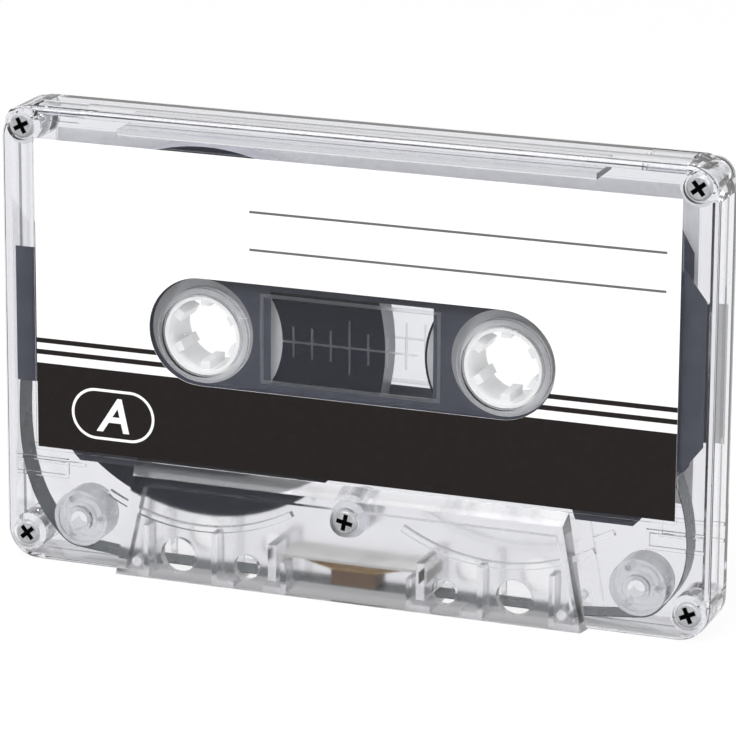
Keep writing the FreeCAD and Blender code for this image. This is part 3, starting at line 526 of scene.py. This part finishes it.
@dataclass(frozen=True)
class Felt(Finish):
    """Pressed felt of the pressure pad."""

    colour: Colour = srgb(84, 62, 46)
    light: Colour = srgb(132, 106, 82)
    fibre_scale: float = 5200.0
    relief_mm: float = 0.12
    sheen: float = 0.4

    def build(self) -> bpy.types.Material:
        """Make the felt's material.

        Returns:
            The felt.
        """
        material, graph, place, shader = self.start()
        fibres = graph.noise(place, self.fibre_scale, 5.0, 0.7)
        tone = graph.mix(graph.ramp(fibres, 0.35, 0.65), self.colour, self.light)
        graph.tree.links.new(tone, shader.inputs["Base Color"])
        graph.tree.links.new(graph.bump(fibres, self.relief_mm * MM), shader.inputs["Normal"])
        shader.inputs["Sheen Weight"].default_value = self.sheen
        return material


@dataclass(frozen=True)
class PlainPaper(Finish):
    """Unprinted side and edges of the label paper."""

    paper: Colour = srgb(252, 252, 252)
    fibre: Colour = srgb(240, 240, 241)
    fibre_scale: float = 1800.0
    relief_mm: float = 0.008

    def build(self) -> bpy.types.Material:
        """Make the paper's material.

        Returns:
            The plain paper.
        """
        material, graph, place, shader = self.start()
        fibres = graph.ramp(graph.noise(place, self.fibre_scale, 4.0, 0.65), 0.35, 0.65)
        graph.tree.links.new(graph.mix(fibres, self.paper, self.fibre), shader.inputs["Base Color"])
        graph.tree.links.new(graph.bump(fibres, self.relief_mm * MM), shader.inputs["Normal"])
        return material


@dataclass(frozen=True)
class LabelPrint(Finish):
    """Printed paper label: a white field over a black one, two stripes, two writing lines and a side mark.

    Heights and reaches are in millimetres, from the tape edge and from the middle of the cassette.
    """

    paper: Colour = srgb(252, 252, 251)
    ink: Colour = srgb(33, 27, 26)
    worn_paper: Colour = srgb(236, 236, 235)
    worn_ink: Colour = srgb(60, 54, 52)
    line_ink: Colour = srgb(104, 102, 102)
    field_top: float = 28.25
    stripes: tuple[tuple[float, float], ...] = ((29.45, 30.15), (31.07, 31.75))
    line_heights: tuple[float, float] = (52.15, 47.0)
    line_ends: tuple[float, float] = (-14.2, 43.4)
    line_half_width: float = 0.17
    mark_middle: tuple[float, float] = (-34.15, 21.9)
    mark_half_length: float = 5.9
    mark_radius: float = 3.4
    mark_line: float = 0.19
    edge_soft: float = 0.03
    wear: float = 0.12
    wear_scale: float = 900.0
    grain_scale: float = 2400.0
    grain_relief: float = 0.012
    spread: float = 0.1

    def build(self, effects: Effects, side: Side) -> bpy.types.Material:
        """Make the print for one side; the back one runs the other way along X.

        Args:
            effects: Shared node groups.
            side: Which face the label is on.

        Returns:
            The printed paper.
        """
        material, graph, place, shader = self.start()
        parts = graph.add("ShaderNodeSeparateXYZ", {0: place})
        across = graph.math("MULTIPLY", parts.outputs[0], -float(side.value) / MM)
        up = graph.math("MULTIPLY", parts.outputs[2], 1.0 / MM)

        def band(value: Socket, low: float, high: float) -> Socket:
            """Mask of the values between two limits, in millimetres.

            Args:
                value: The value, in millimetres.
                low: Lower limit.
                high: Upper limit.

            Returns:
                The mask's socket.
            """
            node = graph.add("ShaderNodeGroup", node_tree=effects.band)
            graph.tree.links.new(value, node.inputs["Value"])
            for name, number in (("Low", low), ("High", high), ("Soft", self.edge_soft)):
                node.inputs[name].default_value = number
            return node.outputs["Mask"]

        dark = band(up, -1.0, self.field_top)
        for low, high in self.stripes:
            dark = graph.math("MAXIMUM", dark, band(up, low, high))
        first, second = (band(up, height - self.line_half_width, height + self.line_half_width)
                         for height in self.line_heights)
        lines = graph.math("MULTIPLY", graph.math("MAXIMUM", first, second), band(across, *self.line_ends))
        mark = band(self._mark_distance(graph, across, up), -self.mark_line, self.mark_line)
        density = graph.ramp(graph.noise(place, self.wear_scale, 4.0, 0.6), 0.3, 0.7, 0.0, self.wear)
        ink = graph.mix(density, self.ink, self.worn_ink)
        paper = graph.mix(density, self.paper, self.worn_paper)
        printed = graph.mix(dark, paper, ink)
        printed = graph.mix(lines, printed, self.line_ink)
        printed = graph.mix(mark, printed, paper)
        graph.tree.links.new(printed, shader.inputs["Base Color"])
        grain = graph.noise(place, self.grain_scale, 4.0, 0.65)
        graph.tree.links.new(graph.bump(grain, self.grain_relief * MM), shader.inputs["Normal"])
        rough = graph.ramp(grain, 0.3, 0.7, self.roughness, self.roughness + self.spread)
        graph.tree.links.new(rough, shader.inputs["Roughness"])
        return material

    def _mark_distance(self, graph: Graph, across: Socket, up: Socket) -> Socket:
        """Distance from the side mark's outline, a slot with round ends.

        Args:
            graph: The material's graph.
            across: Place along the label, in millimetres.
            up: Height, in millimetres.

        Returns:
            The distance's socket, below 0 inside the outline.
        """
        middle_x, middle_z = self.mark_middle
        along = graph.math("SUBTRACT", graph.math("ABSOLUTE", graph.math("SUBTRACT", across, middle_x)),
                           self.mark_half_length - self.mark_radius)
        along = graph.math("MAXIMUM", along, 0.0)
        rise = graph.math("SUBTRACT", up, middle_z)
        reach = graph.math("SQRT", graph.math("ADD", graph.math("MULTIPLY", along, along),
                                              graph.math("MULTIPLY", rise, rise)))
        return graph.math("SUBTRACT", reach, self.mark_radius)


def select_only(*pieces: bpy.types.Object) -> None:
    """Select these objects alone and make the first one active.

    Args:
        pieces: The objects.
    """
    for other in bpy.context.selected_objects:
        other.select_set(False)
    for piece in pieces:
        piece.select_set(True)
    bpy.context.view_layer.objects.active = pieces[0]


def polished_copy(node: str, name: str, angle: float = SHARP_ANGLE) -> bpy.types.Object:
    """Copy a CAD node with its triangles joined and its round faces smooth, in the node's place.

    Args:
        node: The CAD node.
        name: The new piece's name.
        angle: Edges sharper than this stay sharp, in degrees.

    Returns:
        The new piece, which replaces the node and rides on its body.
    """
    source = NODES[node]
    piece = bpy.data.objects.new(name, source.data.copy())
    bpy.context.scene.collection.objects.link(piece)
    piece.data.materials.clear()
    select_only(piece)
    bpy.ops.object.mode_set(mode="EDIT")
    bpy.ops.mesh.select_all(action="SELECT")
    bpy.ops.mesh.remove_doubles(threshold=MERGE_DISTANCE)
    bpy.ops.mesh.customdata_custom_splitnormals_clear()
    bpy.ops.object.mode_set(mode="OBJECT")
    bpy.ops.object.shade_smooth_by_angle(angle=math.radians(angle))
    weigh = piece.modifiers.new("weigh", "WEIGHTED_NORMAL")
    weigh.keep_sharp = True
    bpy.ops.object.modifier_apply(modifier=weigh.name)
    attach(piece, source["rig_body"])
    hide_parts(node)
    return piece


def dress(pieces: Iterable[bpy.types.Object], material: bpy.types.Material) -> None:
    """Give pieces their only material.

    Args:
        pieces: The pieces.
        material: Their material.
    """
    for piece in pieces:
        piece.data.materials.clear()
        piece.data.materials.append(material)
        LOG.info("%s in %s", piece.name, material.name)


@dataclass
class Shell:
    """The two clear mouldings and the five screws that hold them."""

    plastic: ClearPlastic = ClearPlastic("clear_shell", roughness=0.03, ior=1.57, grain=0.15)
    lines: ClearPlastic = ClearPlastic("sunk_lines", roughness=0.35, ior=1.57, clarity=0.93,
                                       tint=(0.8, 0.81, 0.84))
    steel: Metal = Metal("screw_steel", roughness=0.38, colour=srgb(226, 227, 230),
                         dull=srgb(190, 191, 195), metallic=0.55)
    # Near-black steel for the driver's cross: painted shade for the recess, not the steel's own colour.
    slot_shade_steel: Metal = Metal("screw_slot_painted_shade", roughness=0.6, colour=srgb(38, 38, 40), dull=srgb(22, 22, 24))
    screws: tuple[str, ...] = ("screw_top_left", "screw_top_right", "screw_bottom_left",
                               "screw_bottom_right", "screw_middle")
    bed_depth: float = 0.12
    line_depths: tuple[float, float] = (0.02, 0.2)
    lines_half: tuple[float, float] = (13.0, 6.5)
    lines_height: float = 34.92
    cross_depths: tuple[float, float] = (0.05, 0.65)
    cross_reach: float = 1.25

    def build(self, effects: Effects) -> None:
        """Make the mouldings and screws.

        Args:
            effects: Shared node groups.
        """
        halves = [polished_copy(half, half + "_moulding") for half in ("front_shell", "back_shell")]
        dress(halves, self.plastic.build(effects))
        lines = self.lines.build(effects)
        for half, side in zip(halves, Side):
            self._sunk_lines(half, side, lines)
        fasteners = [polished_copy(screw, screw + "_fastener") for screw in self.screws]
        dress(fasteners, self.steel.build(effects))
        # Painted shade: the cross's faces get the dark steel.
        slot = self.slot_shade_steel.build(effects)
        for fastener in fasteners:
            self._paint_slot_shade(fastener, slot)

    def _sunk_lines(self, half: bpy.types.Object, side: Side, finish: bpy.types.Material) -> None:
        """Dull the floor and walls of the window frame and the tape scale.

        Args:
            half: The moulding.
            side: Which face of the cassette it is.
            finish: Finish of the lines.
        """
        half.data.materials.append(finish)
        label_low, label_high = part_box("front_label" if side is Side.FRONT else "back_label")
        outside = label_low[1] if side is Side.FRONT else label_high[1]
        bed = outside - side.value * self.bed_depth * MM
        shallow, deep = (depth * MM for depth in self.line_depths)
        half_width, half_height = (reach * MM for reach in self.lines_half)
        for face in half.data.polygons:
            middle = face.center
            depth = -side.value * (middle.y - bed)
            near = abs(middle.x) < half_width and abs(middle.z - self.lines_height * MM) < half_height
            if near and shallow < depth < deep:
                face.material_index = 1

    def _paint_slot_shade(self, fastener: bpy.types.Object, finish: bpy.types.Material) -> None:
        """Paint shade on the walls and floor of the driver's cross, which lie within the head: a dark steel
        that stands in for the shade in the recess.

        Args:
            fastener: The screw.
            finish: Painted-shade finish of the cross.
        """
        fastener.data.materials.append(finish)
        corners = [Vector(corner) for corner in fastener.bound_box]
        middle = (corners[0] + corners[6]) / 2
        top = min(corner.y for corner in corners)
        shallow, deep = (depth * MM for depth in self.cross_depths)
        for face in fastener.data.polygons:
            reach = math.hypot(face.center.x - middle.x, face.center.z - middle.z)
            if shallow < face.center.y - top < deep and reach < self.cross_reach * MM:
                face.material_index = 1


@dataclass
class Labels:
    """Paper labels with their side letters, and the slip sheets inside."""

    print_finish: LabelPrint = LabelPrint("printed_label", roughness=0.42, gloss=0.3)
    paper_finish: PlainPaper = PlainPaper("glued_paper", roughness=0.7, gloss=0.2)
    sheet_finish: DarkFilm = DarkFilm("slip_sheet", roughness=0.45, gloss=0.3)
    letter_size: float = 6.674
    letter_bold: float = 0.018
    letter_rise: float = 0.012
    letter_slant: float = 0.22
    letter_shade: float = 0.93

    def build(self, effects: Effects) -> None:
        """Dress the labels and sheets and set the side letters on.

        Args:
            effects: Shared node groups.
        """
        glued = self.paper_finish.build()
        for side, node, letter in ((Side.FRONT, "front_label", "A"), (Side.BACK, "back_label", "B")):
            finish = replace(self.print_finish, name="%s_print" % node)
            label = NODES[node]
            dress([label], finish.build(effects, side))
            label.data.materials.append(glued)
            for face in label.data.polygons:
                face.material_index = 0 if face.normal.y * side.value > FLAT else 1
            self._letter(side, node, letter)
        dress([NODES["front_liner"], NODES["back_liner"]], self.sheet_finish.build(effects))

    def _letter(self, side: Side, node: str, letter: str) -> None:
        """Print a side letter in the middle of the side mark.

        Args:
            side: Which face it is on.
            node: The label that carries it.
            letter: The letter.
        """
        select_only(NODES[node])
        bpy.ops.object.text_add(location=(0.0, 0.0, 0.0))
        text = bpy.context.object
        text.name = "side_letter_%s" % letter.lower()
        text.data.body = letter
        text.data.size = self.letter_size * MM
        text.data.offset = self.letter_bold * text.data.size
        text.data.extrude = self.letter_rise / 2 * MM
        text.data.align_x = "CENTER"
        text.data.shear = self.letter_slant
        select_only(text)
        bpy.ops.object.convert(target="MESH")
        piece = bpy.context.object
        middle_x, middle_z = self.print_finish.mark_middle
        low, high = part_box(node)
        face = low[1] if side is Side.FRONT else high[1]
        corners = [corner[1] for corner in piece.bound_box]
        drop = (min(corners) + max(corners)) / 2
        turn = Matrix.Rotation(math.radians(90.0), 4, "X")
        if side is Side.BACK:
            turn = Matrix.Rotation(math.radians(180.0), 4, "Z") @ turn
        place = Matrix.Translation((-side.value * middle_x * MM, face, middle_z * MM))
        piece.data.transform(place @ turn @ Matrix.Translation((0.0, -drop, 0.0)))
        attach(piece, "shell")
        finish = Finish("side_letter_%s_ink" % letter.lower(), roughness=0.4)
        ink, graph, coordinates, shader = finish.start()
        paper = self.print_finish.paper
        shaded = tuple(level * self.letter_shade for level in paper)
        tone = graph.mix(graph.noise(coordinates, self.print_finish.wear_scale), paper, shaded)
        graph.tree.links.new(tone, shader.inputs["Base Color"])
        dress([piece], ink)


@dataclass
class Reels:
    """Hubs, their clamps, the wound tape, the free run and the guide rollers."""

    hub_plastic: ClearPlastic = ClearPlastic("hub_plastic", roughness=0.2, ior=1.5, clarity=0.35,
                                             tint=(0.95, 0.955, 0.965), haze=0.15)
    roller_plastic: ClearPlastic = ClearPlastic("roller_plastic", roughness=0.25, ior=1.5, clarity=0.75,
                                                tint=(0.87, 0.88, 0.9), haze=0.1)
    wound: WoundTape = WoundTape("wound_tape", roughness=0.4, gloss=0.3)
    outer_turn: DarkFilm = DarkFilm("outer_turn", roughness=0.3, colour=srgb(150, 151, 160),
                                    light=srgb(168, 169, 176), relief_mm=0.004, scale=160.0)
    film: DarkFilm = DarkFilm("tape_film", roughness=0.22, colour=srgb(70, 75, 78), light=srgb(88, 93, 96),
                              relief_mm=0.004, scale=160.0)
    run_angle: float = 50.0

    def build(self, effects: Effects) -> None:
        """Make the hubs and rollers and dress the tape.

        Args:
            effects: Shared node groups.
        """
        hubs = [polished_copy(node, node + "_moulding")
                for node in ("left_hub", "right_hub", "left_hub_clamp", "right_hub_clamp")]
        dress(hubs, self.hub_plastic.build(effects))
        rollers = [polished_copy(node, node + "_moulding") for node in ("left_roller", "right_roller")]
        dress(rollers, self.roller_plastic.build(effects))
        outer = self.outer_turn.build(effects)
        for ring in ("tape_pack", "leader_turns"):
            wound = polished_copy(ring, ring + "_winding")
            finish = replace(self.wound, name="%s_edges" % ring)
            dress([wound], finish.build(effects, middle_of(ring)))
            wound.data.materials.append(outer)
            for face in wound.data.polygons:
                face.material_index = 1 if abs(face.normal.y) < FLAT else 0
        run = polished_copy("tape_run", "tape_run_film", angle=self.run_angle)
        dress([run], self.film.build(effects))


@dataclass
class PressurePad:
    """Felt pad, its leaf spring and the shield behind them."""

    bronze: Metal = Metal("spring_bronze", roughness=0.35, colour=srgb(228, 196, 140),
                          dull=srgb(196, 158, 104), metallic=0.6)
    plate: Metal = Metal("shield_metal", roughness=0.4, colour=srgb(240, 239, 236),
                         dull=srgb(228, 226, 221), scale=260.0, metallic=0.5)
    felt: Felt = Felt("pad_felt", roughness=0.95)

    def build(self, effects: Effects) -> None:
        """Dress the pad's pieces.

        Args:
            effects: Shared node groups.
        """
        dress([NODES["pad_spring"]], self.bronze.build(effects))
        dress([NODES["shield_plate"]], self.plate.build(effects))
        dress([NODES["felt_pad"]], self.felt.build())


@dataclass(frozen=True)
class PhotoCamera:
    """Camera at the photograph's place.

    Angles are in degrees and lengths in millimetres. The focal length and the middle are in pixels of
    the photograph.
    """

    azimuth: float = 20.744
    elevation: float = 15.918
    roll: float = -0.311
    distance: float = 602.25
    focal_px: float = 4529.9
    middle_px: tuple[float, float] = (360.70, 361.43)
    target: tuple[float, float, float] = (0.0, 0.0, 32.0)
    sensor: float = 36.0
    clip: tuple[float, float] = (0.01, 50.0)

    def build(self) -> None:
        """Place the camera and make it the scene's own."""
        turn, rise, roll = (math.radians(angle) for angle in (self.azimuth, self.elevation, self.roll))
        back = Vector((math.sin(turn) * math.cos(rise), -math.cos(turn) * math.cos(rise), math.sin(rise)))
        right = Vector((math.cos(turn), math.sin(turn), 0.0))
        up = back.cross(right)
        across = right * math.cos(roll) - up * math.sin(roll)
        above = right * math.sin(roll) + up * math.cos(roll)
        data = bpy.data.cameras.new("photo_camera")
        camera = bpy.data.objects.new("photo_camera", data)
        bpy.context.scene.collection.objects.link(camera)
        facing = Matrix((across, above, back)).transposed().to_4x4()
        eye = Vector(self.target) + back * self.distance
        camera.matrix_world = Matrix.Translation(eye * MM) @ facing
        data.sensor_width = self.sensor
        data.lens = self.focal_px / PHOTO_SIDE_PX * self.sensor
        data.shift_x = (PHOTO_SIDE_PX / 2 - self.middle_px[0]) / PHOTO_SIDE_PX
        data.shift_y = (self.middle_px[1] - PHOTO_SIDE_PX / 2) / PHOTO_SIDE_PX
        data.clip_start, data.clip_end = self.clip
        bpy.context.scene.camera = camera


def sight_rays(graph: Graph) -> tuple[Socket, Socket]:
    """Which rays show the surroundings.

    Args:
        graph: The graph that gets the nodes.

    Returns:
        1 on rays from the camera, and 1 on rays mirrored at a surface or sent through a clear piece.
    """
    rays = graph.add("ShaderNodeLightPath")
    indirect = graph.math("MAXIMUM", rays.outputs["Is Glossy Ray"], rays.outputs["Is Transmission Ray"])
    return rays.outputs["Is Camera Ray"], indirect


def through_ray(graph: Graph) -> Socket:
    """1 on rays that leave a clear piece."""
    return graph.add("ShaderNodeLightPath").outputs["Is Transmission Ray"]


@dataclass(frozen=True)
class Lamp:
    """One soft square lamp: its name, its place and side in metres, and its power in watts."""

    name: str
    place: tuple[float, float, float]
    side: float
    power: float


@dataclass
class Studio:
    """Pale floor, white surroundings and soft lamps.

    Mirrored and refracted rays find white behind the cassette and a dim level in front of it, so clear
    walls look clear and black print stays black.
    """

    floor_side: float = 6.0
    floor_level: float = 0.9
    # Where the painted floor shade fades out along Y, in metres.
    floor_shade_edge: tuple[float, float] = (-0.006, 0.009)
    sky_turn: tuple[float, float] = (-0.35, 0.05)
    surround: float = 1.0
    ambient: float = 0.6
    front: float = 0.16
    front_through: float = 0.28
    glow: float = 0.88
    aim: tuple[float, float, float] = (0.0, 0.0, 0.03)
    lamps: tuple[Lamp, ...] = (Lamp("key", (-0.5, -0.9, 1.1), 0.9, 8.0),
                               Lamp("fill", (1.1, -0.8, 0.5), 1.0, 5.0),
                               Lamp("overhead", (0.0, -0.25, 1.5), 1.2, 13.0))
    bounces: int = 24
    glossy_bounces: int = 8
    clear_bounces: int = 32

    def build(self) -> None:
        """Make the floor, the world and the lamps."""
        self._floor()
        self._world()
        for lamp in self.lamps:
            self._hang(lamp)
        scene = bpy.context.scene
        scene.view_settings.view_transform = "Standard"
        scene.cycles.max_bounces = self.bounces
        scene.cycles.transmission_bounces = self.bounces
        scene.cycles.glossy_bounces = self.glossy_bounces
        scene.cycles.transparent_max_bounces = self.clear_bounces

    def _hang(self, lamp: Lamp) -> None:
        """Hang a lamp so that it faces the cassette.

        Args:
            lamp: The lamp.
        """
        data = bpy.data.lights.new(lamp.name, "AREA")
        data.size = lamp.side
        data.energy = lamp.power
        light = bpy.data.objects.new(lamp.name, data)
        bpy.context.scene.collection.objects.link(light)
        light.location = lamp.place
        light.rotation_euler = (Vector(lamp.place) - Vector(self.aim)).to_track_quat("Z", "Y").to_euler()

    def _floor(self) -> None:
        """Pale floor that renders white and keeps a soft shadow; for mirrored and refracted rays it is dim in
        front of and under the cassette, painted shade in place of its contact shadow.
        """
        select_only(NODES["front_label"])
        bpy.ops.mesh.primitive_plane_add(size=self.floor_side, location=(0.0, 0.0, 0.0))
        floor = bpy.context.object
        floor.name = "studio_floor"
        material = bpy.data.materials.new("studio_floor_paint")
        material.use_nodes = True
        graph = Graph(material.node_tree)
        camera, indirect = sight_rays(graph)
        place = graph.add("ShaderNodeSeparateXYZ", {0: graph.add("ShaderNodeTexCoord").outputs["Object"]})
        # Painted shade: for mirrored and refracted rays the floor turns dim in front of the cassette and
        # under it, standing in for its contact shadow.
        before = graph.math("MULTIPLY", indirect, graph.ramp(place.outputs[1], *self.floor_shade_edge, 1.0, 0.0))
        lit = graph.math("SUBTRACT", graph.math("MAXIMUM", camera, indirect), before)
        front = graph.ramp(through_ray(graph), 0.0, 1.0, self.front, self.front_through)
        pale = (self.floor_level, self.floor_level, self.floor_level)
        dim = graph.add("ShaderNodeCombineColor", {0: front, 1: front, 2: front})
        paint = graph.add("ShaderNodeBsdfDiffuse", {"Color": graph.mix(before, pale, dim.outputs[0])})
        white = graph.add("ShaderNodeEmission", {"Color": (1.0, 1.0, 1.0, 1.0), "Strength": self.surround})
        mixed = graph.add("ShaderNodeMixShader", {0: graph.math("MULTIPLY", lit, self.glow),
                                                  1: paint.outputs[0], 2: white.outputs[0]})
        graph.add("ShaderNodeOutputMaterial", {"Surface": mixed.outputs[0]})
        floor.data.materials.append(material)

    def _world(self) -> None:
        """Surroundings: white to the camera and behind, dim in front, and a plain ambient light."""
        world = bpy.data.worlds.new("studio_world")
        bpy.context.scene.world = world
        world.use_nodes = True
        graph = Graph(world.node_tree)
        direction = graph.add("ShaderNodeTexCoord").outputs["Generated"]
        parts = graph.add("ShaderNodeSeparateXYZ", {0: direction})
        camera, indirect = sight_rays(graph)
        front = graph.ramp(through_ray(graph), 0.0, 1.0, self.front, self.front_through)
        behind = graph.ramp(parts.outputs[1], *self.sky_turn, front, self.surround)
        through = graph.ramp(indirect, 0.0, 1.0, self.ambient, behind)
        strength = graph.ramp(camera, 0.0, 1.0, through, self.surround)
        backdrop = graph.add("ShaderNodeBackground", {"Strength": strength})
        graph.add("ShaderNodeOutputWorld", {"Surface": backdrop.outputs[0]})


def main() -> None:
    """Build each sub-assembly in order, then the studio and the camera."""
    logging.basicConfig(level=logging.INFO, format="%(message)s")
    effects = Effects()
    for part in (Shell(), Labels(), Reels(), PressurePad()):
        part.build(effects)
        LOG.info("%s done", type(part).__name__)
    Studio().build()
    PhotoCamera().build()


if __name__ == "__main__":
    main()
